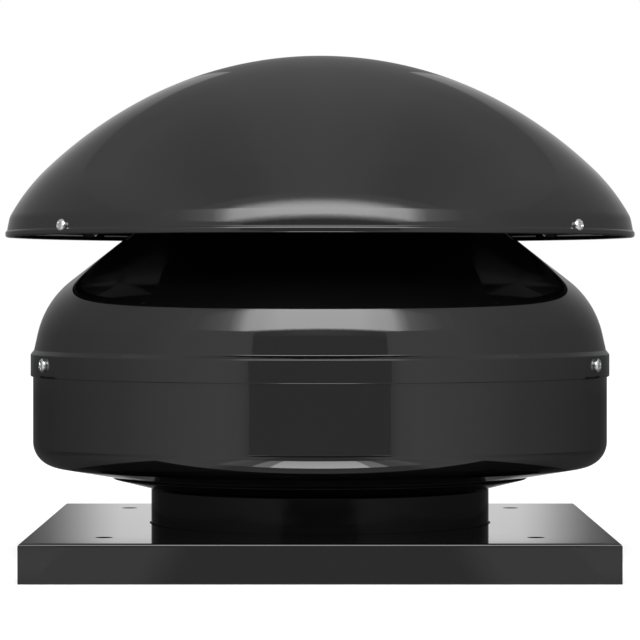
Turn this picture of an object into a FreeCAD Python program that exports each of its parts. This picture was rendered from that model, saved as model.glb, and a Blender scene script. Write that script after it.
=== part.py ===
import FreeCAD, Part
import math
import os

# Roof exhaust fan with a round two-part casing, a rain cap and an external-rotor motor.
# Millimetres. The origin is the centre of the base skirt's lower edge, +Z up, front towards -Y.
# Angles round the fan are counted from the front, positive towards +X.

# Base plate
base_side = 335.0
base_height = 22.7
base_sheet = 1.5
base_bend = 0.5                 # inside radius of the folded edge
base_seam = 0.4                 # slit between two skirts at a corner
curb_hole_pitch = 245.0
curb_hole_diameter = 10.0

# Casing sheet and general clearances
sheet = 1.2
rivet_hole_gap = 0.05
rivet_play = 0.05               # under a flat head or tail on a curved sheet
screw_hole_gap = 0.15
contact_gap = 0.1               # between a flat nut and the curved wall behind it

# Neck
neck_radius = 102.0
neck_bend = 1.0
neck_foot_width = 15.0
neck_ring_width = 23.0          # width of the sloping flange under the bowl
neck_ring_slope = 14.0
neck_rise = 28.3                # plate top to the bowl's floor at the flange's edge

# Lower bowl
bowl_radius = 173.0
bowl_corner = 15.0
bowl_floor_slope = 9.9
bowl_floor_break = 30.0         # radius of the gentle bend beside the neck flange
bowl_mouth_gap = 2.5            # from the neck's radius to the bowl's opening

# Upper shell
band_rise = 60.3                # bowl floor to the band's lower edge
band_height = 13.0
band_gap = 0.3                  # between the band and the bowl's lip
joggle_depth = 2.2
joggle_bend = 1.8
joggle_exit_bend = 1.5
joggle_angle = 45.0
wall_lean = 12.5
wall_run = 9.6
shoulder_radius = 55.0
roof_slope = 38.0
outlet_radius = 102.0
collar_bend = 4.0
collar_height = 10.0
collar_lip_bend = 2.0
collar_lip_width = 6.0
band_screw_rise = 7.6           # band's lower edge to the screws
band_screw_angles = (-112.5, -67.5, 67.5, 112.5)
notch_width = 9.0
notch_height = 1.0

# Rain cap
cap_crown_radius = 229.2
cap_crown_angle = 29.1
cap_flank_radius = 258.5
cap_flank_angle = 14.8
cap_rim_radius = 117.2
cap_rim_angle = 17.0
cap_skirt_bend = 11.5
cap_skirt_lean = 12.3           # of the narrow skirt's upper end
cap_skirt_radius = 150.0
cap_skirt_angle = 2.5
cap_bead_angle = 60.0           # of the upper side of the bead along the edge
cap_bead_inner = 0.5
cap_bead_outer = 1.5
cap_bead_face = 0.4
cap_edge_bend = 1.3
cap_drop = 10.9                 # outlet mouth down to the cap's lower edge
cap_screw_share = 0.8           # the screws' place, as a share of the skirt down from its upper end
cap_screw_seat_gap = 0.3        # round a screw head, where it is let into the bead
cap_screw_angles = (-129.0, -51.0, 51.0, 129.0)

# Cap brackets
bracket_sheet = 1.5
bracket_width = 18.0
bracket_foot = 8.0
bracket_foot_gap = 1.0          # above the collar's bend
bracket_bend = 3.0
bracket_knee = 7.0
bracket_rivet_side = 4.5        # rivets to each side of the foot's middle
bracket_tip = 1.6               # past the skirt's end

# Outlet guard
guard_sheet = 1.5
guard_margin = 2.5
guard_slot_width = 11.0
guard_ring_pitch = 15.0
guard_first_slot = 18.0
guard_rings = 5
guard_sectors = 5
guard_rib_width = 5.0
guard_rivets = 5

# Inlet nozzle
nozzle_flange_width = 18.0
nozzle_mouth_radius = 24.0
nozzle_throat_run = 4.0
nozzle_rivet_count = 6
nozzle_rivet_inset = 11.0

# Motor support
rail_sheet = 2.5
rail_width = 24.0
rail_bend = 8.0
rail_tab_drop = 21.0            # rail top down to the end of its tabs
rail_rise = 11.1                # band screws up to the rail's top
plate_sheet = 2.0
plate_reach_left = 70.0
plate_reach_right = 120.0
plate_corner = 8.0
plate_hole_gap = 3.0            # round the rotor
rail_screw_inset = 12.0

# Motor
rotor_radius = 46.0
rotor_wall = 2.5
rotor_floor = 3.0
rotor_depth = 36.0
rotor_flange_width = 12.0
rotor_flange_sheet = 2.0
rotor_flange_drop = 8.0         # rotor's open end down to its flange
rotor_core_wall = 5.0
hub_radius = 9.0
hub_height = 3.5
air_gap = 0.5
core_height = 17.0
core_drop = 3.0                 # under the middle of the rotor's room
core_overlap = 1.0              # rotor's core past the stator's at each end
core_slots = 12
slot_width = 4.0
slot_depth = 15.0
slot_liner = 0.2
winding_height = 5.0
winding_setback = 2.0
stator_gap = 2.0                # rotor's open end to the stator flange
stator_flange_radius = 52.0
stator_flange_sheet = 6.0
lug_radius = 6.0
lug_circle = 57.0
lug_angles = (45.0, 135.0, 225.0, 315.0)
tube_wall = 3.5
tube_shoulder = 2.0
lead_radius = 2.5
lead_height = 6.0
lead_hole_gap = 0.05
cover_radius = 24.0
cover_height = 12.0
cover_wall = 2.0

# Shaft and bearings
shaft_radius = 5.0
shaft_end = 1.8                 # shaft past the circlip
circlip_groove = 0.4
bearing_radius = 13.0
bearing_width = 8.0
bearing_rise = 2.5              # upper bearing past the deck
ball_radius = 2.35
ball_count = 7
race_gap = 0.05
race_land = 1.9                 # ball circle to the edge of each ring
cage_wall = 1.6
cage_floor = 1.0
cage_rise = 0.9
pocket_gap = 0.07
washer_thickness = 1.5
washer_width = 1.7
circlip_thickness = 1.2
circlip_width = 2.6
circlip_opening = 4.0

# Impeller
impeller_radius = 110.0
impeller_sheet = 1.5
shroud_eye_gap = 2.0            # round the nozzle
shroud_overlap = 4.0            # eye below the nozzle's end
shroud_eye_run = 4.0
shroud_bend = 10.0
shroud_slope = 10.0
backplate_gap = 0.3             # round the rotor
blade_count = 7
blade_sheet = 1.5
blade_inner_radius = 71.0
blade_edge_inset = 1.0
blade_sweep_angle = 40.0
blade_mid_angle = 17.0
blade_mid_radius = 91.0
impeller_screw_count = 6
impeller_screw_circle = 52.5

# Terminal box
box_length = 60.0
box_breadth = 56.0
box_height = 32.0
box_wall = 2.0
box_corner = 5.0
box_offset = 56.0
box_ear = 12.0                  # width and reach of each fixing ear
box_ear_height = 3.0
box_ear_inset = 13.0            # box's end to the ear's middle
post_radius = 3.5
post_inset = 4.0                # outer face to a post's axis
gasket_thickness = 1.5
lid_thickness = 3.0
block_size = (16.0, 26.0, 14.0)
block_setback = 10.0            # box's far end to the block
block_ways = 3
block_slot_width = 2.5
block_slot_depth = 5.5
block_slot_reach = 5.5
capacitor_radius = 10.5
capacitor_length = 38.0
capacitor_gap = 0.5
gland_radius = 8.0
gland_hex = 20.0
gland_flange = 5.0
gland_nut_length = 12.0
gland_bore = 4.0
gland_neck = 6.4                # radius of the part that the nut closes on
gland_rise = 2.0                # over the lead's level
gland_cut = 20.0                # how far the bore is cut to each side of the wall
grommet_radius = 6.0
grommet_lip = 1.5

# Fasteners: shank radius, head radius, head height
m4_shank, m4_head, m4_head_height = 2.0, 4.0, 2.6
m4_nut_flats, m4_nut_height = 7.0, 3.2
cap_screw_head = 3.5
cap_screw_tail = 1.0            # screw past the tapped bracket
lid_screw_shank, lid_screw_head, lid_screw_head_height = 1.3, 2.6, 1.8
lid_screw_hold = 8.0            # in the box's post
rivet_shank, rivet_head, rivet_head_height = 1.6, 3.2, 1.0
screw_tail = 1.4                # screw past its nut
head_rounding = 0.6             # share of a pan head's height

# How far a hole is cut to each side of its point
sheet_drill = 6.0
wall_drill = 8.0
cap_drill = 3.5
post_drill = 12.0

UP = FreeCAD.Vector(0, 0, 1)
BACK = FreeCAD.Vector(0, 1, 0)


def vec(x, y, z):
    return FreeCAD.Vector(x, y, z)


# Profiles in the (r, z) half plane

def shifted(moves, thickness):
    """The same moves along a line that runs thickness to the left."""
    result = []
    for move in moves:
        if isinstance(move, tuple):
            radius, turn = move
            result.append((radius - thickness * math.copysign(1.0, turn), turn))
        else:
            result.append(move)
    return result


def walk(start, heading, moves):
    """Edges and end of a smooth line. A move is a straight length or (radius, turn in degrees)."""
    r, z = start
    angle = math.radians(heading)
    edges = []
    for move in moves:
        if isinstance(move, tuple):
            radius, turn = move
            side = math.copysign(1.0, turn)
            centre = (r - side * radius * math.sin(angle), z + side * radius * math.cos(angle))

            def at(part):
                b = angle + math.radians(turn * part)
                return (centre[0] + side * radius * math.sin(b), centre[1] - side * radius * math.cos(b))

            middle, end = at(0.5), at(1.0)
            edges.append(Part.Arc(vec(r, 0, z), vec(middle[0], 0, middle[1]), vec(end[0], 0, end[1])).toShape())
            angle += math.radians(turn)
        else:
            end = (r + move * math.cos(angle), z + move * math.sin(angle))
            edges.append(Part.LineSegment(vec(r, 0, z), vec(end[0], 0, end[1])).toShape())
        r, z = end
    return edges, (r, z)


def line_between(a, b):
    return Part.LineSegment(vec(a[0], 0, a[1]), vec(b[0], 0, b[1])).toShape()


def spin(edges):
    """The solid of revolution of a closed profile."""
    face = Part.Face(Part.Wire(Part.__sortEdges__(edges)))
    body = Part.makeSolid(face.revolve(vec(0, 0, 0), UP, 360).Shells[0])
    if body.Volume < 0:
        body.reverse()
    return body


def polygon(points):
    return [line_between(a, b) for a, b in zip(points, points[1:] + points[:1])]


def turned(points):
    """A turned body with straight edges in its profile."""
    return spin(polygon(points))


def spun_sheet(start, heading, moves, thickness):
    """A spun sheet along a line. The sheet lies to the left, or to the right if thickness is negative."""
    angle = math.radians(heading)
    near, near_end = walk(start, heading, moves)
    far_start = (start[0] - thickness * math.sin(angle), start[1] + thickness * math.cos(angle))
    far, far_end = walk(far_start, heading, shifted(moves, thickness))
    return spin(near + far + [line_between(start, far_start), line_between(near_end, far_end)])


# Placing

def from_front(angle):
    """Unit vector at an angle counted from the front."""
    a = math.radians(angle)
    return vec(math.sin(a), -math.cos(a), 0)


def aimed(shape, point, direction):
    placed = shape.copy()
    placed.Placement = FreeCAD.Placement(point, FreeCAD.Rotation(UP, direction))
    return placed


def turned_to(shape, angle):
    """A shape built along +X, turned to an angle counted from the front."""
    placed = shape.copy()
    placed.rotate(vec(0, 0, 0), UP, angle - 90.0)
    return placed


def rotated(shape, angle):
    placed = shape.copy()
    placed.rotate(vec(0, 0, 0), UP, angle)
    return placed


def ring(outer, inner, bottom, height):
    return Part.makeCylinder(outer, height, vec(0, 0, bottom)).cut(
        Part.makeCylinder(inner, height, vec(0, 0, bottom)))


def slab(x0, x1, y0, y1, z0, z1):
    return Part.makeBox(x1 - x0, y1 - y0, z1 - z0, vec(x0, y0, z0))


def upright_edges(shape):
    return [e for e in shape.Edges if len(e.Vertexes) == 2
            and (e.Vertexes[0].Point - e.Vertexes[1].Point).cross(UP).Length < 1e-6]


def rounded_slab(x0, x1, y0, y1, z0, z1, radius):
    block = slab(x0, x1, y0, y1, z0, z1)
    return block.makeFillet(radius, upright_edges(block))


def edges_at(shape, height):
    return [e for e in shape.Edges if all(abs(v.Z - height) < 1e-6 for v in e.Vertexes)]


# Fasteners, with the head's underside at z = 0 and the shank below

def pan_screw(shank, head, head_height, grip):
    top = Part.makeCylinder(head, head_height)
    top = top.makeFillet(head_height * head_rounding, edges_at(top, head_height))
    return top.fuse(Part.makeCylinder(shank, grip, vec(0, 0, -grip))).removeSplitter()


def hex_nut(flats, height, bore):
    """A nut whose upper face is at z = 0, one flat towards +Y."""
    corner = flats / math.sqrt(3.0)
    points = [vec(corner * math.cos(math.radians(60 * i)), corner * math.sin(math.radians(60 * i)), -height)
              for i in range(6)]
    prism = Part.Face(Part.makePolygon(points + points[:1])).extrude(vec(0, 0, height))
    return prism.cut(Part.makeCylinder(bore, height, vec(0, 0, -height)))


def blind_rivet(grip):
    """A set blind rivet, with a low head above and a swollen tail below."""
    bottom = -grip - rivet_play
    tail_end = bottom - rivet_head_height * 2
    tail = rivet_shank * 1.5
    return turned([(0, tail_end), (tail, tail_end), (tail, bottom), (rivet_shank, bottom),
                   (rivet_shank, rivet_play), (rivet_head, rivet_play),
                   (rivet_head * 0.5, rivet_play + rivet_head_height), (0, rivet_play + rivet_head_height)])


def drill(shape, points, direction_of, radius, reach):
    """Round holes through a wall, each along its own direction, as far as reach to both sides of its point."""
    for point in points:
        direction = direction_of(point)
        shape = shape.cut(Part.makeCylinder(radius, 2 * reach, point - direction * reach, direction))
    return shape


# Heights and radii that follow from the driving dimensions

slope_rise = math.tan(math.radians(neck_ring_slope))
slope_cos = math.cos(math.radians(neck_ring_slope))
plate_top = base_height
plate_under = base_height - base_sheet
ring_edge = neck_radius + neck_ring_width
floor_height = plate_top + neck_rise
band_bottom = floor_height + band_rise
band_top = band_bottom + band_height
band_outer = bowl_radius + band_gap + sheet
bowl_inner = bowl_radius - sheet
screw_height = band_bottom + band_screw_rise


def floor_outside(r):
    """Height of the bowl's outer face in the sloping ring over the neck's flange."""
    return floor_height - (ring_edge - r) * slope_rise


def floor_inside(r):
    return floor_outside(r) + sheet / slope_cos


def outward(point):
    return vec(point.x, point.y, 0).normalize()


def straight_down(point):
    return UP


def ring_normal(point):
    """Across the sloping ring over the neck's flange."""
    return (outward(point) * -slope_rise + UP).normalize()


def cap_normal(point):
    """Across the cap's skirt."""
    return (outward(point) * math.cos(cap_screw_tilt) + UP * math.sin(cap_screw_tilt)).normalize()


nozzle_edge = neck_radius + bowl_mouth_gap + nozzle_flange_width
nozzle_rivet_radius = neck_radius + nozzle_rivet_inset
nozzle_rivet_angles = [30.0 + 360.0 / nozzle_rivet_count * i for i in range(nozzle_rivet_count)]
nozzle_rivet_seat = floor_outside(nozzle_rivet_radius) - sheet / slope_cos
nozzle_rivet_points = [from_front(a) * nozzle_rivet_radius + UP * nozzle_rivet_seat
                       for a in nozzle_rivet_angles]

# The outlet, from the upper shell's wall upwards
joggle_first = joggle_bend * (1 - math.cos(math.radians(joggle_angle)))
joggle_last = joggle_exit_bend * (math.cos(math.radians(wall_lean)) - math.sin(math.radians(90 - joggle_angle)))
joggle_straight = (joggle_depth - joggle_first - joggle_last) / math.sin(math.radians(joggle_angle))
shell_moves = [band_height, (joggle_bend, joggle_angle), joggle_straight,
               (joggle_exit_bend, wall_lean - joggle_angle), wall_run,
               (shoulder_radius, 90 - wall_lean - roof_slope)]
roof_start = walk((band_outer, band_bottom), 90, shell_moves)[1]
roof_bend_width = collar_bend * (1 - math.sin(math.radians(roof_slope)))
roof_run = (roof_start[0] - outlet_radius - roof_bend_width) / math.cos(math.radians(roof_slope))
shell_moves += [roof_run, (collar_bend, roof_slope - 90), collar_height,
                (collar_lip_bend, 90), collar_lip_width]
collar_start = walk((band_outer, band_bottom), 90, shell_moves[:-3])[1]
collar_top = collar_start[1] + collar_height + collar_lip_bend
outlet_mouth = roof_start[1] + (roof_start[0] - outlet_radius) * math.tan(math.radians(roof_slope))

# The rain cap, drawn down from its crown
cap_arcs = [(cap_crown_radius, -cap_crown_angle), (cap_flank_radius, -cap_flank_angle),
            (cap_rim_radius, -cap_rim_angle)]
cap_turn = cap_crown_angle + cap_flank_angle + cap_rim_angle
cap_skirt_start = cap_arcs + [(cap_skirt_bend, cap_turn - (90 - cap_skirt_lean))]
cap_skirt = cap_skirt_start + [(cap_skirt_radius, -cap_skirt_angle)]
cap_moves = cap_skirt + [(cap_bead_inner, cap_bead_angle - cap_skirt_lean + cap_skirt_angle),
                         (cap_bead_outer, -cap_bead_angle),
                         cap_bead_face, (cap_edge_bend, -90)]
cap_bottom = outlet_mouth - cap_drop
cap_top = cap_bottom - walk((0, 0), 0, cap_moves)[1][1]
cap_rim_start = walk((0, cap_top), 0, cap_arcs[:-1])[1]
flank_turn = math.radians(cap_crown_angle + cap_flank_angle)
rim_centre = (cap_rim_start[0] - cap_rim_radius * math.sin(flank_turn),
              cap_rim_start[1] - cap_rim_radius * math.cos(flank_turn))
cap_screw_turn = cap_skirt_angle * cap_screw_share
cap_screw_tilt = math.radians(cap_skirt_lean - cap_screw_turn)
cap_screw_radius, cap_screw_height = walk((0, cap_top), 0, cap_skirt_start
                                          + [(cap_skirt_radius, -cap_screw_turn)])[1]
cap_screw_points = [from_front(a) * cap_screw_radius + UP * cap_screw_height for a in cap_screw_angles]

# The motor support and the motor hang from the band screws
rail_top = screw_height + rail_rise
rail_offset = bowl_radius * math.cos(math.radians(min(abs(a) for a in band_screw_angles)))
deck = rail_top + plate_sheet
rotor_top = deck - stator_gap
rotor_bottom = rotor_top - rotor_depth
rotor_flange_top = rotor_top - rotor_flange_drop
rotor_flange_under = rotor_flange_top - rotor_flange_sheet
backplate_under = rotor_flange_under - impeller_sheet
hub_top = rotor_bottom + rotor_floor + hub_height
lower_bearing = hub_top
ball_circle = (shaft_radius + bearing_radius) / 2
tube_radius = bearing_radius + tube_wall
shoulder_bottom = lower_bearing + bearing_width
upper_bearing = deck - bearing_width + bearing_rise
washer_bottom = upper_bearing - washer_thickness
circlip_bottom = upper_bearing + bearing_width
circlip_seat = shaft_radius - circlip_groove
shaft_top = circlip_bottom + circlip_thickness + shaft_end
rotor_inner = rotor_radius - rotor_wall
stator_radius = rotor_inner - rotor_core_wall - air_gap
core_middle = (hub_top + deck) / 2 - core_drop
core_bottom = core_middle - core_height / 2
core_top = core_middle + core_height / 2
cover_bottom = deck + stator_flange_sheet
lead_level = cover_bottom + lead_height

# The nozzle and the impeller's shroud
nozzle_start_r = neck_radius + neck_bend
nozzle_edge_height = floor_inside(nozzle_edge)
nozzle_run = (nozzle_edge - nozzle_start_r) / slope_cos
nozzle_moves = [nozzle_run, (nozzle_mouth_radius, -(90 + neck_ring_slope)), nozzle_throat_run]
throat_radius, nozzle_top = walk((nozzle_edge, nozzle_edge_height), 180 + neck_ring_slope, nozzle_moves)[1]
shroud_eye = throat_radius + sheet + shroud_eye_gap
shroud_bottom = nozzle_top - shroud_overlap
shroud_bend_moves = [shroud_eye_run, (shroud_bend, -(90 - shroud_slope))]
shroud_flare_start = walk((shroud_eye, shroud_bottom), 90, shroud_bend_moves)[1]
shroud_run = (impeller_radius - shroud_flare_start[0]) / math.cos(math.radians(shroud_slope))
shroud_moves = shroud_bend_moves + [shroud_run]

band_screw_points = [from_front(a) * band_outer + UP * screw_height for a in band_screw_angles]
rail_screw_points = [vec(x, y, deck) for x in (-plate_reach_left + rail_screw_inset,
                                               plate_reach_right - rail_screw_inset)
                     for y in (-rail_offset, rail_offset)]
flange_screw_points = [vec(lug_circle * math.cos(math.radians(a)), lug_circle * math.sin(math.radians(a)), deck)
                       for a in lug_angles]
box_end = box_offset + box_length
box_middle = box_offset + box_length / 2
box_screw_points = [vec(box_offset + box_ear_inset, box_breadth / 2 + box_ear / 2, deck),
                    vec(box_end - box_ear_inset, -box_breadth / 2 - box_ear / 2, deck)]


# Casing

def base_plate():
    half = base_side / 2
    outside = slab(-half, half, -half, half, 0, base_height)
    outside = outside.makeFillet(base_bend + base_sheet, edges_at(outside, base_height))
    inner = half - base_sheet
    inside = slab(-inner, inner, -inner, inner, -1, plate_under)
    inside = inside.makeFillet(base_bend, edges_at(inside, plate_under))
    tray = outside.cut(inside)
    tray = tray.cut(Part.makeCylinder(neck_radius + neck_bend, base_height * 2))
    for x in (-curb_hole_pitch / 2, curb_hole_pitch / 2):
        for y in (-curb_hole_pitch / 2, curb_hole_pitch / 2):
            tray = tray.cut(Part.makeCylinder(curb_hole_diameter / 2, base_height * 2, vec(x, y, 0)))
    seam_top = base_height - base_bend - base_sheet
    for x in (-half + base_sheet / 2, half - base_sheet / 2):
        for y in (-inner + base_seam / 2, inner - base_seam / 2):
            tray = tray.cut(slab(x - base_sheet, x + base_sheet, y - base_seam / 2, y + base_seam / 2,
                                 -1, seam_top))
    return tray


def neck_spigot():
    start = (neck_radius + neck_bend + neck_foot_width, plate_under)
    upper_bend = neck_bend + neck_bend / 2
    flare_start = neck_radius + upper_bend * (1 - math.sin(math.radians(neck_ring_slope)))
    flare_run = (ring_edge - flare_start) / slope_cos
    flare_height = floor_outside(flare_start) - sheet / slope_cos
    wall = flare_height - upper_bend * slope_cos - plate_under - neck_bend
    moves = [neck_foot_width, (neck_bend, -90), wall, (upper_bend, neck_ring_slope - 90), flare_run]
    neck = spun_sheet(start, 180, moves, sheet)
    return drill(neck, nozzle_rivet_points, ring_normal, rivet_shank + rivet_hole_gap, sheet_drill)


def lower_bowl():
    lip_top = band_top + band_gap
    wall_end = walk((bowl_radius, 0), -90, [(bowl_corner, bowl_floor_slope - 90)])[1]
    break_angle = neck_ring_slope - bowl_floor_slope
    break_start = walk((ring_edge, floor_height), neck_ring_slope, [(bowl_floor_break, -break_angle)])[1]
    floor_run = (wall_end[0] - break_start[0]) / math.cos(math.radians(bowl_floor_slope))
    corner_bottom = break_start[1] + floor_run * math.sin(math.radians(bowl_floor_slope))
    wall = lip_top - (corner_bottom - wall_end[1])
    ring_run = (ring_edge - neck_radius - bowl_mouth_gap) / slope_cos
    moves = [wall, (bowl_corner, bowl_floor_slope - 90), floor_run, (bowl_floor_break, break_angle), ring_run]
    bowl = spun_sheet((bowl_radius, lip_top), -90, moves, -sheet)
    bowl = drill(bowl, band_screw_points, outward, m4_shank + screw_hole_gap, wall_drill)
    return drill(bowl, nozzle_rivet_points, ring_normal, rivet_shank + rivet_hole_gap, sheet_drill)


def inlet_nozzle():
    nozzle = spun_sheet((nozzle_edge, nozzle_edge_height), 180 + neck_ring_slope, nozzle_moves, -sheet)
    return drill(nozzle, nozzle_rivet_points, ring_normal, rivet_shank + rivet_hole_gap, sheet_drill)


def nozzle_rivets():
    rivet = blind_rivet(3 * sheet)
    return [aimed(rivet, point, ring_normal(point) * -1) for point in nozzle_rivet_points]


def upper_shell():
    shell = spun_sheet((band_outer, band_bottom), 90, shell_moves, sheet)
    shell = drill(shell, band_screw_points, outward, m4_shank + screw_hole_gap, wall_drill)
    shell = drill(shell, bracket_rivet_points, outward, rivet_shank + rivet_hole_gap, sheet_drill)
    shell = drill(shell, guard_rivet_points, straight_down, rivet_shank + rivet_hole_gap, sheet_drill)
    notch = slab(bowl_radius, band_outer + 1, -notch_width / 2, notch_width / 2,
                 band_bottom - 1, band_bottom + notch_height)
    for angle in band_screw_angles:
        shell = shell.cut(turned_to(notch, angle))
    return shell


def band_screws():
    grip = 2 * sheet + band_gap + rail_sheet + contact_gap + m4_nut_height + screw_tail
    screw = pan_screw(m4_shank, m4_head, m4_head_height, grip)
    return [aimed(screw, point, outward(point)) for point in band_screw_points]


def band_nuts():
    nut = hex_nut(m4_nut_flats, m4_nut_height, m4_shank)
    seat = bowl_inner - rail_sheet - contact_gap
    return [aimed(nut, from_front(a) * seat + UP * screw_height, from_front(a)) for a in band_screw_angles]


# Outlet guard, brackets and rain cap

bracket_foot_bottom = collar_start[1] + bracket_foot_gap
bracket_foot_top = bracket_foot_bottom + bracket_foot
bracket_rivet_height = bracket_foot_bottom + bracket_foot / 2
bracket_rivet_turn = math.degrees(math.asin(bracket_rivet_side / (outlet_radius + bracket_sheet)))
bracket_rivet_points = [from_front(a + side * bracket_rivet_turn) * (outlet_radius + bracket_sheet)
                        + UP * bracket_rivet_height for a in cap_screw_angles for side in (-1, 1)]
guard_radius = outlet_radius - guard_margin
guard_rivet_radius = outlet_radius - collar_lip_bend - collar_lip_width / 2
guard_rivet_points = [rotated(Part.Vertex(guard_rivet_radius, 0, collar_top + guard_sheet),
                              360.0 / guard_rivets * i).Point for i in range(guard_rivets)]


def outlet_guard():
    guard = Part.makeCylinder(guard_radius, guard_sheet, vec(0, 0, collar_top))
    slots = []
    for i in range(guard_rings):
        inner = guard_first_slot + guard_ring_pitch * i
        slots.append(ring(inner + guard_slot_width, inner, collar_top, guard_sheet))
    ribs = [rotated(slab(0, guard_radius, -guard_rib_width / 2, guard_rib_width / 2,
                         collar_top, collar_top + guard_sheet), 360.0 / guard_sectors * (i + 0.5))
            for i in range(guard_sectors)]
    openings = [slot.cut(ribs) for slot in slots]
    guard = guard.cut(openings)
    return drill(guard, guard_rivet_points, straight_down, rivet_shank + rivet_hole_gap, sheet_drill)


def collar_rivets():
    bracket_rivet = blind_rivet(bracket_sheet + sheet)
    guard_rivet = blind_rivet(guard_sheet + sheet)
    return ([aimed(bracket_rivet, point, outward(point)) for point in bracket_rivet_points]
            + [aimed(guard_rivet, point, UP) for point in guard_rivet_points])


def rain_cap():
    cap = spun_sheet((0, cap_top), 0, cap_moves, -sheet)
    seat = Part.makeCylinder(cap_screw_head + cap_screw_seat_gap, m4_head_height)
    cap = cap.cut([aimed(seat, point, cap_normal(point)) for point in cap_screw_points])
    return drill(cap, cap_screw_points, cap_normal, m4_shank + screw_hole_gap, cap_drill)


def cap_bracket(angle):
    """Strip from the outlet collar to the cap's rim, curved where it lies on them."""
    strip_top = bracket_foot_top + bracket_bend + bracket_sheet
    seat_radius = cap_rim_radius - sheet
    knee_height = strip_top - bracket_knee
    knee_reach = math.sqrt((seat_radius - bracket_knee) ** 2 - (knee_height - rim_centre[1]) ** 2)
    knee_r = rim_centre[0] + knee_reach
    knee_turn = 90 - math.degrees(math.atan2(knee_height - rim_centre[1], knee_reach))
    foot_bend = bracket_bend + bracket_sheet
    strip_run = knee_r - outlet_radius - foot_bend
    moves = [bracket_foot, (foot_bend, -90), strip_run, (bracket_knee, -knee_turn),
             (seat_radius, knee_turn - cap_turn), (cap_skirt_bend - sheet, cap_turn - (90 - cap_skirt_lean)),
             (cap_skirt_radius - sheet, -cap_skirt_angle), bracket_tip]
    whole = spun_sheet((outlet_radius, bracket_foot_bottom), 90, moves, -bracket_sheet)
    half = bracket_width / 2
    strip = whole.common(slab(0, cap_rim_radius * 2, -half, half, 0, cap_top))
    strip = turned_to(strip, angle)
    side_rivets = [p for p in bracket_rivet_points if outward(p).dot(from_front(angle)) > 0.9]
    screws = [p for p in cap_screw_points if outward(p).dot(from_front(angle)) > 0.9]
    strip = drill(strip, side_rivets, outward, rivet_shank + rivet_hole_gap, sheet_drill)
    return drill(strip, screws, cap_normal, m4_shank + rivet_hole_gap, wall_drill)


def cap_screws():
    screw = pan_screw(m4_shank, cap_screw_head, m4_head_height, sheet + bracket_sheet + cap_screw_tail)
    return [aimed(screw, point, cap_normal(point)) for point in cap_screw_points]


# Motor support

def rail(side):
    """Cross rail whose bent-down ends lie on the bowl's wall. side is -1 in front, 1 behind."""
    wall = rail_tab_drop - rail_bend
    moves = [wall, (rail_bend, 90), bowl_inner - rail_bend]
    dish = spun_sheet((bowl_inner, rail_top - rail_tab_drop), 90, moves, rail_sheet)
    middle = side * rail_offset
    bar = dish.common(slab(-bowl_radius, bowl_radius, middle - rail_width / 2, middle + rail_width / 2,
                           0, cap_top))
    own_screws = [p for p in band_screw_points if p.y * side > 0]
    bar = bar.cut(Part.makeCylinder(rotor_radius + plate_hole_gap, rail_top))
    bar = drill(bar, own_screws, outward, m4_shank + screw_hole_gap, wall_drill)
    own_fixings = [p for p in rail_screw_points if p.y * side > 0]
    return drill(bar, own_fixings, straight_down, m4_shank + screw_hole_gap, sheet_drill)


def motor_plate():
    half = rail_offset + rail_width / 2
    plate = rounded_slab(-plate_reach_left, plate_reach_right, -half, half, rail_top, deck, plate_corner)
    plate = plate.cut(Part.makeCylinder(rotor_radius + plate_hole_gap, plate_sheet, vec(0, 0, rail_top)))
    points = rail_screw_points + flange_screw_points + box_screw_points
    return drill(plate, points, straight_down, m4_shank + screw_hole_gap, sheet_drill)


def deck_screws(points, lift, through):
    grip = lift + through + m4_nut_height + screw_tail
    screw = pan_screw(m4_shank, m4_head, m4_head_height, grip)
    return [aimed(screw, point + UP * lift, UP) for point in points]


def plate_nuts():
    nut = hex_nut(m4_nut_flats, m4_nut_height, m4_shank)
    under_rail = [aimed(nut, point - UP * (plate_sheet + rail_sheet), UP) for point in rail_screw_points]
    under_plate = [aimed(nut, point - UP * plate_sheet, UP) for point in flange_screw_points + box_screw_points]
    return under_rail + under_plate


# Motor

def stator_flange():
    disc = Part.makeCylinder(stator_flange_radius, stator_flange_sheet, vec(0, 0, deck))
    lugs = [Part.makeCylinder(lug_radius, stator_flange_sheet, point) for point in flange_screw_points]
    tube = Part.makeCylinder(tube_radius, deck - lower_bearing, vec(0, 0, lower_bearing))
    casting = disc.fuse(lugs + [tube]).removeSplitter()
    bore_top = cover_bottom
    casting = casting.cut(Part.makeCylinder(bearing_radius - tube_shoulder, bore_top - lower_bearing,
                                            vec(0, 0, lower_bearing)))
    casting = casting.cut(Part.makeCylinder(bearing_radius, bearing_width, vec(0, 0, lower_bearing)))
    casting = casting.cut(Part.makeCylinder(bearing_radius, bore_top - washer_bottom, vec(0, 0, washer_bottom)))
    return drill(casting, flange_screw_points, straight_down, m4_shank + screw_hole_gap, wall_drill)


def stator_core():
    core = ring(stator_radius, tube_radius, core_bottom, core_height)
    slot = slab(stator_radius - slot_depth, stator_radius + 1, -slot_width / 2, slot_width / 2,
                core_bottom, core_top)
    return core.cut([rotated(slot, 360.0 / core_slots * i) for i in range(core_slots)])


def stator_windings():
    """Two end rings joined through the core's slots."""
    outer = stator_radius - winding_setback
    inner = stator_radius - slot_depth + slot_liner
    below = ring(outer, inner, core_bottom - winding_height, winding_height)
    above = ring(outer, inner, core_top, winding_height)
    half = slot_width / 2 - slot_liner
    bar = slab(inner + slot_liner, outer - slot_liner, -half, half,
               core_bottom - slot_liner, core_top + slot_liner)
    bars = [rotated(bar, 360.0 / core_slots * i) for i in range(core_slots)]
    return below.fuse([above] + bars).removeSplitter()


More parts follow.
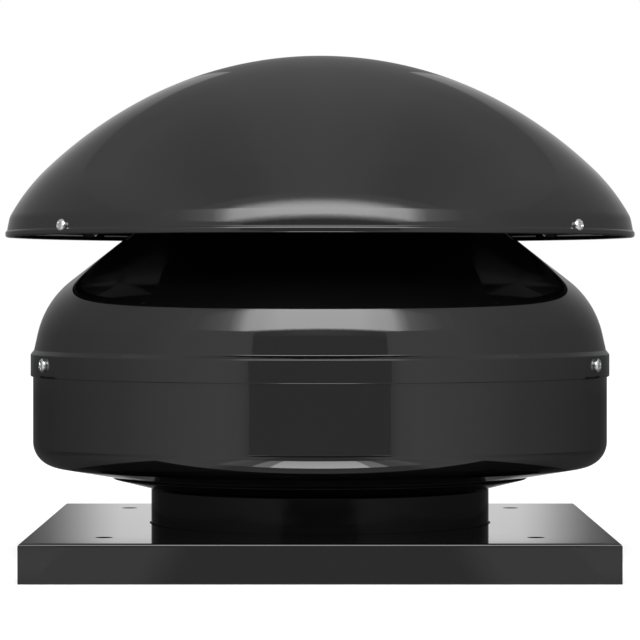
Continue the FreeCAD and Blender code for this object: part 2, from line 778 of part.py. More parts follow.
def rotor_can():
    top = rotor_top
    return turned([(shaft_radius, rotor_bottom), (rotor_radius, rotor_bottom),
                   (rotor_radius, rotor_flange_under), (rotor_radius + rotor_flange_width, rotor_flange_under),
                   (rotor_radius + rotor_flange_width, rotor_flange_top), (rotor_radius, rotor_flange_top),
                   (rotor_radius, top), (rotor_inner, top),
                   (rotor_inner, rotor_bottom + rotor_floor), (hub_radius, rotor_bottom + rotor_floor),
                   (hub_radius, hub_top), (shaft_radius, hub_top)])


def drilled_rotor_can():
    return drill(rotor_can(), impeller_screw_points, straight_down, m4_shank + screw_hole_gap, sheet_drill)


def rotor_core():
    return ring(rotor_inner, rotor_inner - rotor_core_wall, core_bottom - core_overlap,
                core_height + 2 * core_overlap)


def shaft():
    body = Part.makeCylinder(shaft_radius, shaft_top - rotor_bottom, vec(0, 0, rotor_bottom))
    groove = ring(shaft_radius + 1, circlip_seat, circlip_bottom, circlip_thickness)
    body = body.cut(groove)
    return body.makeChamfer(shaft_end / 4, edges_at(body, shaft_top))


def shaft_circlip():
    clip = ring(circlip_seat + circlip_width, circlip_seat, circlip_bottom, circlip_thickness)
    return clip.cut(slab(0, shaft_radius * 2, -circlip_opening / 2, circlip_opening / 2,
                         circlip_bottom, circlip_bottom + circlip_thickness))


def raceway(level):
    return Part.makeTorus(ball_circle, ball_radius + race_gap, vec(0, 0, level + bearing_width / 2))


def outer_ring(level):
    return ring(bearing_radius, ball_circle + race_land, level, bearing_width).cut(raceway(level))


def inner_ring(level):
    return ring(ball_circle - race_land, shaft_radius, level, bearing_width).cut(raceway(level))


def ball_set(level):
    """The balls of one bearing and the crown cage that spaces them."""
    middle = level + bearing_width / 2
    centres = [rotated(Part.Vertex(ball_circle, 0, middle), 360.0 / ball_count * i).Point
               for i in range(ball_count)]
    balls = [Part.makeSphere(ball_radius, point) for point in centres]
    cage_bottom = middle - ball_radius - cage_floor
    cage = ring(ball_circle + cage_wall / 2, ball_circle - cage_wall / 2, cage_bottom,
                middle + cage_rise - cage_bottom)
    cage = cage.cut([Part.makeSphere(ball_radius + pocket_gap, point) for point in centres])
    return balls + [cage]


def wave_washer():
    return ring(bearing_radius, bearing_radius - washer_width, washer_bottom, washer_thickness)


def bearing_cover():
    cover = Part.makeCylinder(cover_radius, cover_height, vec(0, 0, cover_bottom))
    cover = cover.makeFillet(cover_wall, edges_at(cover, cover_bottom + cover_height))
    inner = cover_radius - cover_wall
    cover = cover.cut(Part.makeCylinder(inner, cover_height - cover_wall, vec(0, 0, cover_bottom)))
    return cover.cut(lead_bore(lead_radius + lead_hole_gap, 0, box_offset))


def lead_bore(radius, start, end):
    return Part.makeCylinder(radius, end - start, vec(start, 0, lead_level), vec(1, 0, 0))


def motor_lead():
    return lead_bore(lead_radius, cover_radius - cover_wall * 3, block_start)


# Impeller

impeller_screw_points = [vec(impeller_screw_circle * math.cos(math.radians(60 * i + 30)),
                             impeller_screw_circle * math.sin(math.radians(60 * i + 30)), rotor_flange_top)
                         for i in range(impeller_screw_count)]


def impeller_backplate():
    plate = ring(impeller_radius, rotor_radius + backplate_gap, backplate_under, impeller_sheet)
    return drill(plate, impeller_screw_points, straight_down, m4_shank + screw_hole_gap, sheet_drill)


def impeller_shroud():
    return spun_sheet((shroud_eye, shroud_bottom), 90, shroud_moves, -sheet)


def blade_space():
    """Room for the blades, between the shroud, the backplate and the leading edges."""
    start = walk((shroud_eye, shroud_bottom), 90, [shroud_eye_run])[1]
    floor = [shroud_bend_moves[1], shroud_run - blade_edge_inset]
    edges, end = walk(start, 90, floor)
    tip = (end[0], backplate_under)
    nose = (blade_inner_radius - blade_sheet, backplate_under)
    return spin(edges + [line_between(end, tip), line_between(tip, nose), line_between(nose, start)])


def blade_point(radius, sweep):
    return vec(radius * math.cos(math.radians(sweep)), -radius * math.sin(math.radians(sweep)), shroud_bottom)


def blade_at(angle, room):
    """A backward-curved blade: one arc in plan, cut to the room between shroud and backplate."""
    inner = blade_point(blade_inner_radius, 0)
    middle = blade_point(blade_mid_radius, blade_mid_angle)
    outer = blade_point(impeller_radius, blade_sweep_angle)
    centre = Part.Arc(inner, middle, outer).toShape().Curve.Center
    half = blade_sheet / 2

    def offset(point, by):
        return point + (point - centre).normalize() * by

    faces = [Part.Arc(offset(inner, by), offset(middle, by), offset(outer, by)).toShape()
             for by in (-half, half)]
    ends = [Part.LineSegment(offset(p, -half), offset(p, half)).toShape() for p in (inner, outer)]
    outline = Part.Wire(Part.__sortEdges__(faces + ends))
    blade = Part.Face(outline).extrude(UP * (backplate_under - shroud_bottom))
    return rotated(blade.common(room), angle)


def impeller_screws():
    grip = rotor_flange_sheet + impeller_sheet + screw_tail
    screw = pan_screw(m4_shank, m4_head, m4_head_height, grip)
    return [aimed(screw, point, UP) for point in impeller_screw_points]


# Terminal box

half_breadth = box_breadth / 2
box_top = deck + box_height
block_start = box_end - block_setback - block_size[0]
block_side = -lead_radius
post_points = [vec(x, y, deck) for x in (box_offset + post_inset, box_end - post_inset)
               for y in (-half_breadth + post_inset, half_breadth - post_inset)]


def gland_axis(y):
    return vec(box_middle, y, lead_level + gland_rise)


def terminal_box():
    outside = rounded_slab(box_offset, box_end, -half_breadth, half_breadth, deck, box_top, box_corner)
    inside = rounded_slab(box_offset + box_wall, box_end - box_wall, -half_breadth + box_wall,
                          half_breadth - box_wall, deck + box_wall, box_top, box_corner - box_wall)
    posts = [Part.makeCylinder(post_radius, box_height, point) for point in post_points]
    ears = [slab(p.x - box_ear / 2, p.x + box_ear / 2, p.y - box_ear / 2, p.y + box_ear / 2,
                 deck, deck + box_ear_height) for p in box_screw_points]
    box = outside.fuse(ears).cut(inside).fuse([post.common(outside) for post in posts]).removeSplitter()
    box = drill(box, [p + UP * box_height for p in post_points], straight_down, lid_screw_shank, post_drill)
    box = drill(box, box_screw_points, straight_down, m4_shank + screw_hole_gap, sheet_drill)
    box = box.cut(lead_bore(grommet_radius - grommet_lip, box_offset - 1, box_offset + box_wall + 1))
    return box.cut(Part.makeCylinder(gland_radius, box_wall * 3, gland_axis(half_breadth - box_wall * 2), BACK))


def lid_gasket():
    outside = rounded_slab(box_offset, box_end, -half_breadth, half_breadth, box_top,
                           box_top + gasket_thickness, box_corner)
    inside = rounded_slab(box_offset + box_wall, box_end - box_wall, -half_breadth + box_wall,
                          half_breadth - box_wall, box_top, box_top + gasket_thickness, box_corner - box_wall)
    pads = [Part.makeCylinder(post_radius, gasket_thickness, vec(p.x, p.y, box_top)) for p in post_points]
    gasket = outside.cut(inside).fuse([pad.common(outside) for pad in pads]).removeSplitter()
    return drill(gasket, [vec(p.x, p.y, box_top) for p in post_points], straight_down,
                 lid_screw_shank + rivet_hole_gap, sheet_drill)


lid_under = box_top + gasket_thickness


def box_lid():
    lid = rounded_slab(box_offset, box_end, -half_breadth, half_breadth, lid_under, lid_under + lid_thickness,
                       box_corner)
    lid = lid.makeFillet(lid_thickness / 3, edges_at(lid, lid_under + lid_thickness))
    return drill(lid, [vec(p.x, p.y, lid_under) for p in post_points], straight_down,
                 lid_screw_shank + rivet_hole_gap, sheet_drill)


def lid_screws():
    grip = lid_thickness + gasket_thickness + lid_screw_hold
    screw = pan_screw(lid_screw_shank, lid_screw_head, lid_screw_head_height, grip)
    return [aimed(screw, vec(p.x, p.y, lid_under + lid_thickness), UP) for p in post_points]


def terminal_block():
    length, breadth, height = block_size
    base = deck + box_wall
    block = slab(block_start, block_start + length, block_side, block_side + breadth, base, base + height)
    slots = []
    for i in range(block_ways):
        y = block_side + breadth / block_ways * (i + 0.5)
        slots.append(slab(block_start, block_start + block_slot_reach, y - block_slot_width / 2,
                          y + block_slot_width / 2, base + height - block_slot_depth, base + height))
    return block.cut(slots)


def capacitor():
    start = box_offset + post_inset + post_radius + capacitor_gap
    side = -half_breadth + box_wall + capacitor_gap + capacitor_radius
    return Part.makeCylinder(capacitor_radius, capacitor_length,
                             vec(start, side, deck + box_wall + capacitor_radius), vec(1, 0, 0))


def lead_grommet():
    outer = box_offset
    collar = lead_bore(grommet_radius, outer - grommet_lip, outer)
    waist = lead_bore(grommet_radius - grommet_lip, outer, outer + box_wall)
    return collar.fuse(waist).removeSplitter().cut(lead_bore(lead_radius, outer - 3, outer + box_wall + 3))


def gland_hole():
    return Part.makeCylinder(gland_bore, 2 * gland_cut, gland_axis(half_breadth - gland_cut), BACK)


def supply_gland():
    thread = Part.makeCylinder(gland_radius, box_wall * 2, gland_axis(half_breadth - box_wall * 2), BACK)
    nut = hex_nut(gland_hex, gland_flange, gland_bore)
    flange = aimed(nut, gland_axis(half_breadth + gland_flange), BACK)
    neck = Part.makeCylinder(gland_neck, gland_flange, gland_axis(half_breadth + gland_flange), BACK)
    return flange.fuse([thread, neck]).removeSplitter().cut(gland_hole())


def gland_nut():
    start = half_breadth + gland_flange
    dome = Part.makeCylinder(gland_hex / 2, gland_nut_length, gland_axis(start), BACK)
    far = [e for e in dome.Edges if all(abs(v.Y - start - gland_nut_length) < 1e-6 for v in e.Vertexes)]
    dome = dome.makeFillet(gland_nut_length / 3, far)
    return dome.cut([Part.makeCylinder(gland_neck, gland_flange, gland_axis(start), BACK), gland_hole()])


def group(solids):
    return Part.makeCompound(solids)


def pieces():
    room = blade_space()
    named = {
        "base_plate": base_plate(),
        "neck_spigot": neck_spigot(),
        "lower_bowl": lower_bowl(),
        "inlet_nozzle": inlet_nozzle(),
        "nozzle_rivets": group(nozzle_rivets()),
        "upper_shell": upper_shell(),
        "band_screws": group(band_screws()),
        "band_nuts": group(band_nuts()),
        "outlet_guard": outlet_guard(),
        "collar_rivets": group(collar_rivets()),
        "rain_cap": rain_cap(),
        "cap_screws": group(cap_screws()),
        "front_rail": rail(-1),
        "rear_rail": rail(1),
        "motor_plate": motor_plate(),
        "rail_screws": group(deck_screws(rail_screw_points, 0, plate_sheet + rail_sheet)),
        "flange_screws": group(deck_screws(flange_screw_points, stator_flange_sheet, plate_sheet)),
        "box_screws": group(deck_screws(box_screw_points, box_ear_height, plate_sheet)),
        "plate_nuts": group(plate_nuts()),
        "stator_flange": stator_flange(),
        "stator_core": stator_core(),
        "stator_windings": stator_windings(),
        "rotor_can": drilled_rotor_can(),
        "rotor_core": rotor_core(),
        "shaft": shaft(),
        "shaft_circlip": shaft_circlip(),
        "lower_outer_ring": outer_ring(lower_bearing),
        "upper_outer_ring": outer_ring(upper_bearing),
        "lower_inner_ring": inner_ring(lower_bearing),
        "upper_inner_ring": inner_ring(upper_bearing),
        "lower_balls": group(ball_set(lower_bearing)),
        "upper_balls": group(ball_set(upper_bearing)),
        "wave_washer": wave_washer(),
        "bearing_cover": bearing_cover(),
        "motor_lead": motor_lead(),
        "impeller_backplate": impeller_backplate(),
        "impeller_shroud": impeller_shroud(),
        "impeller_screws": group(impeller_screws()),
        "terminal_box": terminal_box(),
        "lid_gasket": lid_gasket(),
        "box_lid": box_lid(),
        "lid_screws": group(lid_screws()),
        "terminal_block": terminal_block(),
        "capacitor": capacitor(),
        "lead_grommet": lead_grommet(),
        "supply_gland": supply_gland(),
        "gland_nut": gland_nut(),
    }
    for i, angle in enumerate(cap_screw_angles):
        named["cap_bracket_%d" % (i + 1)] = cap_bracket(angle)
    for i in range(blade_count):
        named["impeller_blade_%d" % (i + 1)] = blade_at(360.0 / blade_count * i, room)
    return named


os.makedirs("parts", exist_ok=True)
for name, shape in pieces().items():
    shape.exportStep("parts/%s.step" % name)
    box = shape.BoundBox
    print("%-20s valid %s solids %d volume %.0f  z %.1f to %.1f" % (
        name, shape.isValid(), len(shape.Solids), shape.Volume, box.ZMin, box.ZMax))
print("cap top %.1f, bottom %.1f, collar top %.1f" % (cap_top, cap_bottom, collar_top))
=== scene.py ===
import math

import bmesh
import bpy
from mathutils import Matrix, Vector


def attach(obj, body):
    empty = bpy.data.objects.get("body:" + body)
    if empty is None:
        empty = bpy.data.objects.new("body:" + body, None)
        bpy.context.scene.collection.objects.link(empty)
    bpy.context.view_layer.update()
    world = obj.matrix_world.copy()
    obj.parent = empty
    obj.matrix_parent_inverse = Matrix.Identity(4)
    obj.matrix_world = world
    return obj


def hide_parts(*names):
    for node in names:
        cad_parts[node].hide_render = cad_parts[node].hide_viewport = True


# Roof exhaust fan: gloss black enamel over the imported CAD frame. Profiles are in millimetres,
# as in the CAD, and the meshes are in metres.

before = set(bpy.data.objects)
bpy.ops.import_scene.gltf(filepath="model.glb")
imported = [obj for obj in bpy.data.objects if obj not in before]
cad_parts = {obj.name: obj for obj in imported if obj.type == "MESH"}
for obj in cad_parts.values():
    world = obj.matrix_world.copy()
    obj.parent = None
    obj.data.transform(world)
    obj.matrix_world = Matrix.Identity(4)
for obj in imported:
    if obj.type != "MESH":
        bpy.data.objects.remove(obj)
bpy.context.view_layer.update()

MM = 0.001
ON_AXIS = 1e-6                  # a smaller radius counts as a point on the axis

# Named values of the CAD that the spun sheets here follow, in millimetres and degrees
SHEET = 1.2
PLATE_SHEET = 1.5
PLATE_TOP = 22.7
NECK_FOOT = 118.0               # outer radius of the neck's flange under the plate
BAND_BOTTOM = 111.3
BAND_OUTER = 174.5
BOWL_RADIUS = 173.0
BOWL_TOP = 124.6                # behind the band
SCREW_HEIGHT = 118.9
BAND_SCREW_ANGLES = (-112.5, -67.5, 67.5, 112.5)
CAP_SCREW_ANGLES = (-129.0, -51.0, 51.0, 129.0)
CAP_SCREW_LEAN = 10.3

# The scene's own values
SHEET_EDGE = 0.35               # rounding of a coated sheet's edge
CAP_BOTTOM = 194.59             # 0.7 mm below the CAD's, with a hem that is as much longer
NOTCH_WIDTH = 26.0              # of the notch under each band screw, 9 mm in the CAD
NOTCH_HEIGHT = 1.0
NOTCH_ANGLES = (-114.0, -66.0, 66.0, 114.0)
LATHE_SEGMENTS = 360
SCREW_SEGMENTS = 64
ARC_STEP = 3.0                  # longest step along an arc, in degrees
ARC_LENGTH = 4.0                # and in millimetres


# Profiles in the (r, z) half plane

def shifted(moves, thickness):
    """The same moves along a line that runs thickness to the left."""
    result = []
    for move in moves:
        if isinstance(move, tuple):
            radius, turn = move
            result.append((radius - thickness * math.copysign(1.0, turn), turn))
        else:
            result.append(move)
    return result


def trace(start, heading, moves):
    """Points (r, z, heading) along a smooth line of straight lengths and (radius, turn) arcs."""
    r, z = start
    angle = math.radians(heading)
    points = [(r, z, angle)]
    for move in moves:
        if isinstance(move, tuple):
            radius, turn = move
            side = math.copysign(1.0, turn)
            centre = (r - side * radius * math.sin(angle), z + side * radius * math.cos(angle))
            length = radius * math.radians(abs(turn))
            count = max(2, math.ceil(abs(turn) / ARC_STEP), math.ceil(length / ARC_LENGTH))
            for i in range(1, count + 1):
                b = angle + math.radians(turn) * i / count
                points.append((centre[0] + side * radius * math.sin(b),
                               centre[1] - side * radius * math.cos(b), b))
            angle += math.radians(turn)
            r, z = points[-1][:2]
        else:
            r += move * math.cos(angle)
            z += move * math.sin(angle)
            points.append((r, z, angle))
    return points


def trimmed(points, cut):
    """Points without the last stretch of length cut."""
    r, z, angle = points[-1]
    kept = [p for p in points[:-1] if math.hypot(p[0] - r, p[1] - z) > cut * 1.05]
    return kept + [(r - cut * math.cos(angle), z - cut * math.sin(angle), angle)]


def trimmed_start(points, cut):
    """Points without the first stretch of length cut."""
    back = [(r, z, angle + math.pi) for r, z, angle in reversed(points)]
    return [(r, z, angle - math.pi) for r, z, angle in reversed(trimmed(back, cut))]


def rounded_end(near, far, angle, cut):
    """The sheet's rounded edge from one face's end to the other's, as (r, z, normal r, normal z)."""
    d = (math.cos(angle), math.sin(angle))
    width = math.hypot(far[0] - near[0], far[1] - near[1])
    n = ((near[0] - far[0]) / width, (near[1] - far[1]) / width)
    steps = 4
    result = []
    for corner, sign in ((near, 1.0), (far, -1.0)):
        centre = (corner[0] - d[0] * cut - n[0] * sign * cut, corner[1] - d[1] * cut - n[1] * sign * cut)
        for i in range(steps + 1):
            b = math.radians(90.0 * i / steps)
            a, e = (math.cos(b), math.sin(b)) if sign > 0 else (-math.sin(b), math.cos(b))
            normal = (n[0] * a + d[0] * e, n[1] * a + d[1] * e)
            result.append((centre[0] + cut * normal[0], centre[1] + cut * normal[1], *normal))
    return result


def sheet_profile(start, heading, moves, thickness, edge=SHEET_EDGE):
    """Outline of a spun sheet as (r, z, normal r, normal z). The sheet lies to the left of the line."""
    a = math.radians(heading)
    side = math.copysign(1.0, thickness)
    near = trace(start, heading, moves)
    far = trace((start[0] - thickness * math.sin(a), start[1] + thickness * math.cos(a)), heading,
                shifted(moves, thickness))
    last = rounded_end(near[-1], far[-1], near[-1][2], edge)
    first = []
    if start[0] > ON_AXIS:
        first = rounded_end(far[0], near[0], near[0][2] + math.pi, edge)
        near, far = trimmed_start(near, edge), trimmed_start(far, edge)
    near, far = trimmed(near, edge), trimmed(far, edge)
    near_side = [(r, z, side * math.sin(b), -side * math.cos(b)) for r, z, b in near]
    far_side = [(r, z, -side * math.sin(b), side * math.cos(b)) for r, z, b in far]
    return near_side + last[1:-1] + far_side[::-1] + first[1:-1]


# Meshes

def linked(name, data):
    """A new object in the scene."""
    obj = bpy.data.objects.new(name, data)
    bpy.context.scene.collection.objects.link(obj)
    return obj


def mesh_of(name, work):
    """The mesh of a finished bmesh."""
    mesh = bpy.data.meshes.new(name)
    work.to_mesh(mesh)
    work.free()
    return mesh


def strip(low, high):
    """The faces between two closed rings. A ring on the axis is one point, repeated."""
    count = len(low)
    faces = []
    for i in range(count):
        j = (i + 1) % count
        faces.append(list(dict.fromkeys((low[i], low[j], high[j], high[i]))))
    return faces


def lathe(name, profile, angles=None, lift=None):
    """A turned mesh with exact normals. lift(angle, z) moves points up, for notches in an edge."""
    angles = angles or [360.0 * i / LATHE_SEGMENTS for i in range(LATHE_SEGMENTS)]
    count = len(angles)
    verts, normals, columns = [], [], []
    for r, z, nr, nz in profile:
        if r < ON_AXIS:
            columns.append([len(verts)] * count)
            verts.append((0, 0, z * MM))
            normals.append((0, 0, math.copysign(1.0, nz)))
            continue
        columns.append(list(range(len(verts), len(verts) + count)))
        for angle in angles:
            s, c = math.sin(math.radians(angle)), -math.cos(math.radians(angle))
            rise = lift(angle, z) if lift else 0.0
            verts.append((r * s * MM, r * c * MM, (z + rise) * MM))
            normals.append((nr * s, nr * c, nz))
    pairs = list(zip(columns, columns[1:]))
    if profile[0][0] > ON_AXIS:
        pairs.append((columns[-1], columns[0]))
    mesh = bpy.data.meshes.new(name)
    mesh.from_pydata(verts, [], [face for low, high in pairs for face in strip(low, high)])
    work = bmesh.new()
    work.from_mesh(mesh)
    bmesh.ops.recalc_face_normals(work, faces=work.faces)
    work.to_mesh(mesh)
    work.free()
    mesh.shade_smooth()
    mesh.normals_split_custom_set_from_vertices(normals)
    return linked(name, mesh)


def direction(angle, tilt=0.0):
    """Unit vector at an angle counted from the front, tilted up."""
    a, t = math.radians(angle), math.radians(tilt)
    return Vector((math.sin(a) * math.cos(t), -math.cos(a) * math.cos(t), math.sin(t)))


# Node materials

def material(name, colour, metallic, roughness, **sockets):
    """A Principled material, with its node tree, its shader and its texture coordinates."""
    mat = bpy.data.materials.new(name)
    mat.use_nodes = True
    tree = mat.node_tree
    shader = tree.nodes["Principled BSDF"]
    shader.inputs["Base Color"].default_value = (*colour, 1.0)
    shader.inputs["Metallic"].default_value = metallic
    shader.inputs["Roughness"].default_value = roughness
    for key, value in sockets.items():
        shader.inputs[key.replace("_", " ")].default_value = value
    coordinates = tree.nodes.new("ShaderNodeTexCoord")
    return mat, tree, shader, coordinates.outputs["Object"]


def node(tree, kind, links=None, **values):
    """A new node. A name with a leading underscore is a setting of the node, any other one an input."""
    made = tree.nodes.new(kind)
    for key, value in values.items():
        if key.startswith("_"):
            setattr(made, key[1:], value)
        else:
            made.inputs[key.replace("_", " ")].default_value = value
    for key, socket in (links or {}).items():
        tree.links.new(socket, made.inputs[key])
    return made


def maths(tree, operation, *values, clamp=False):
    """The result of a math node. A value is a number or another node's output."""
    made = node(tree, "ShaderNodeMath", _operation=operation, _use_clamp=clamp)
    for value, into in zip(values, made.inputs):
        if isinstance(value, float):
            into.default_value = value
        else:
            tree.links.new(value, into)
    return made.outputs[0]


def times(tree, colour, share):
    """A colour times a grey value or another colour."""
    made = node(tree, "ShaderNodeVectorMath", {0: colour, 1: share}, _operation="MULTIPLY")
    return made.outputs["Vector"]


def noise(tree, where, scale, detail=2.0, roughness=0.5):
    return node(tree, "ShaderNodeTexNoise", {"Vector": where}, Scale=scale, Detail=detail,
                Roughness=roughness)


def stretched(tree, where, scale):
    return node(tree, "ShaderNodeMapping", {"Vector": where}, Scale=scale).outputs["Vector"]


def spread(tree, value, low, high, from_low=0.0, from_high=1.0):
    """A value mapped to a range."""
    made = node(tree, "ShaderNodeMapRange", {"Value": value})
    for key, number in (("From Min", from_low), ("From Max", from_high), ("To Min", low), ("To Max", high)):
        made.inputs[key].default_value = number
    return made.outputs["Result"]


def tint(tree, factor, dark, light):
    """A colour between dark and light, by a factor."""
    ramp = tree.nodes.new("ShaderNodeValToRGB")
    ramp.color_ramp.elements[0].color = (*dark, 1.0)
    ramp.color_ramp.elements[1].color = (*light, 1.0)
    tree.links.new(factor, ramp.inputs["Fac"])
    return ramp.outputs["Color"]


def bump(tree, shader, height, distance, strength=1.0, below=None):
    made = node(tree, "ShaderNodeBump", {"Height": height}, Strength=strength, Distance=distance)
    if below:
        tree.links.new(below, made.inputs["Normal"])
    tree.links.new(made.outputs["Normal"], shader.inputs["Normal"])
    return made.outputs["Normal"]


def located(tree):
    """The outputs X, Y and Z of the point on the piece, and the point itself."""
    where = tree.nodes.new("ShaderNodeTexCoord").outputs["Object"]
    return node(tree, "ShaderNodeSeparateXYZ", {"Vector": where}).outputs, where


def from_front(tree, parts):
    """The angle round the fan, 0 in front to 1 behind."""
    across = maths(tree, "ABSOLUTE", parts["X"])
    ahead = maths(tree, "MULTIPLY", parts["Y"], -1.0)
    return spread(tree, maths(tree, "ARCTAN2", across, ahead), 0.0, 1.0, 0.0, math.pi)


def near_to(tree, value, middle, reach):
    """1 within reach of the middle, 0 elsewhere."""
    return maths(tree, "COMPARE", value, middle, reach)


def black_enamel(name="black_enamel", specular=0.5, rough_low=0.025, rough_high=0.06):
    """Gloss black coating with a fine orange peel and a trace of dust."""
    mat, tree, shader, where = material(name, (0.0022, 0.0022, 0.0023), 0.0, rough_low, IOR=1.5,
                                        Specular_IOR_Level=specular)
    peel = noise(tree, where, 320.0, 1.5, 0.4)
    wave = noise(tree, where, 45.0, 1.0, 0.3)
    first = bump(tree, shader, wave.outputs["Fac"], 0.00004, 0.35)
    bump(tree, shader, peel.outputs["Fac"], 0.000012, 0.6, first)
    tone = noise(tree, where, 25.0, 4.0, 0.6)
    tree.links.new(tint(tree, tone.outputs["Fac"], (0.0016, 0.0016, 0.0017), (0.0030, 0.0030, 0.0031)),
                   shader.inputs["Base Color"])
    haze = noise(tree, where, 60.0, 3.0, 0.6)
    tree.links.new(spread(tree, haze.outputs["Fac"], rough_low, rough_high), shader.inputs["Roughness"])
    return mat


def bowl_enamel():
    """The enamel, dulled on the bowl in each notch of the band: painted shade of the gap there."""
    notch_from_side, notch_reach = 24.0, 4.25
    # Height and half height of the painted shade strip in metres, and the specular level beside it and in it
    shade_strip_height, shade_strip_reach = 0.1119, 0.0009
    unshaded_specular, painted_shade_specular = 0.5, 0.04
    mat = black_enamel("bowl_enamel")
    tree = mat.node_tree
    parts, _ = located(tree)
    from_side = maths(tree, "ABSOLUTE", spread(tree, from_front(tree, parts), -90.0, 90.0))
    in_notch = maths(tree, "MULTIPLY", near_to(tree, from_side, notch_from_side, notch_reach),
                     near_to(tree, parts["Z"], shade_strip_height, shade_strip_reach))
    tree.links.new(spread(tree, in_notch, unshaded_specular, painted_shade_specular),
                   tree.nodes["Principled BSDF"].inputs["Specular IOR Level"])
    return mat


def zinc_fastener():
    """Bright zinc plating, bluish, with fine turning marks and a few dull spots."""
    mat, tree, shader, where = material("zinc_fastener", (0.62, 0.64, 0.66), 1.0, 0.28)
    cloud = noise(tree, where, 420.0, 4.0, 0.6)
    tree.links.new(tint(tree, cloud.outputs["Fac"], (0.46, 0.48, 0.50), (0.78, 0.79, 0.80)),
                   shader.inputs["Base Color"])
    tree.links.new(spread(tree, cloud.outputs["Fac"], 0.18, 0.42), shader.inputs["Roughness"])
    grain = noise(tree, where, 2600.0, 2.0)
    bump(tree, shader, grain.outputs["Fac"], 0.00001, 0.5)
    return mat


def galvanised_steel():
    """Hot-dip galvanised sheet with its spangle."""
    mat, tree, shader, where = material("galvanised_steel", (0.5, 0.52, 0.54), 1.0, 0.38)
    cells = node(tree, "ShaderNodeTexVoronoi", {"Vector": where}, Scale=150.0)
    grey = node(tree, "ShaderNodeRGBToBW", {"Color": cells.outputs["Color"]})
    tree.links.new(tint(tree, grey.outputs["Val"], (0.40, 0.42, 0.44), (0.66, 0.68, 0.70)),
                   shader.inputs["Base Color"])
    tree.links.new(spread(tree, grey.outputs["Val"], 0.26, 0.48), shader.inputs["Roughness"])
    fine = noise(tree, where, 900.0, 3.0)
    bump(tree, shader, fine.outputs["Fac"], 0.00001, 0.5)
    return mat


def cast_aluminium():
    """Die-cast aluminium with a faintly rough skin."""
    mat, tree, shader, where = material("cast_aluminium", (0.62, 0.62, 0.61), 1.0, 0.42)
    skin = noise(tree, where, 700.0, 4.0, 0.6)
    flow = noise(tree, stretched(tree, where, (30.0, 30.0, 80.0)), 1.0, 3.0)
    tree.links.new(tint(tree, flow.outputs["Fac"], (0.50, 0.50, 0.49), (0.70, 0.70, 0.69)),
                   shader.inputs["Base Color"])
    tree.links.new(spread(tree, skin.outputs["Fac"], 0.34, 0.52), shader.inputs["Roughness"])
    bump(tree, shader, skin.outputs["Fac"], 0.00003, 0.6)
    return mat


def turned_steel(name, low, high, rough_low, rough_high):
    """Ground steel with fine marks round its axis."""
    mat, tree, shader, where = material(name, high, 1.0, rough_low)
    rings = noise(tree, stretched(tree, where, (60.0, 60.0, 9000.0)), 1.0, 2.0)
    tree.links.new(tint(tree, rings.outputs["Fac"], low, high), shader.inputs["Base Color"])
    tree.links.new(spread(tree, rings.outputs["Fac"], rough_low, rough_high), shader.inputs["Roughness"])
    bump(tree, shader, rings.outputs["Fac"], 0.000004, 0.5)
    return mat


def core_steel():
    """A stack of half-millimetre laminations, dark with varnish."""
    mat, tree, shader, where = material("core_steel", (0.12, 0.115, 0.11), 0.85, 0.45)
    layers = node(tree, "ShaderNodeTexWave", {"Vector": where}, _bands_direction="Z", Scale=100.0,
                  Distortion=0.3)
    stain = noise(tree, where, 120.0, 4.0)
    tree.links.new(tint(tree, stain.outputs["Fac"], (0.07, 0.065, 0.06), (0.17, 0.165, 0.16)),
                   shader.inputs["Base Color"])
    tree.links.new(spread(tree, stain.outputs["Fac"], 0.35, 0.6), shader.inputs["Roughness"])
    bump(tree, shader, layers.outputs["Fac"], 0.00006, 0.7)
    return mat


def winding_copper():
    """Enamelled copper wire, wound side by side."""
    mat, tree, shader, where = material("winding_copper", (0.55, 0.2, 0.07), 0.9, 0.3, Coat_Weight=0.6,
                                        Coat_Roughness=0.12)
    wires = node(tree, "ShaderNodeTexWave", {"Vector": where}, _bands_direction="Z", Scale=130.0,
                 Distortion=1.5, Detail_Scale=3.0)
    tree.links.new(tint(tree, wires.outputs["Fac"], (0.28, 0.08, 0.03), (0.68, 0.27, 0.10)),
                   shader.inputs["Base Color"])
    bump(tree, shader, wires.outputs["Fac"], 0.00012, 0.8)
    return mat


def plastic(name, dark, light, rough_low, rough_high, grain=1400.0, depth=0.00002):
    """Moulded plastic or rubber with a fine spark-eroded grain."""
    mat, tree, shader, where = material(name, light, 0.0, rough_low, IOR=1.5)
    texture = noise(tree, where, grain, 3.0, 0.55)
    cloud = noise(tree, where, 40.0, 3.0)
    tree.links.new(tint(tree, cloud.outputs["Fac"], dark, light), shader.inputs["Base Color"])
    tree.links.new(spread(tree, texture.outputs["Fac"], rough_low, rough_high), shader.inputs["Roughness"])
    bump(tree, shader, texture.outputs["Fac"], depth, 0.6)
    return mat


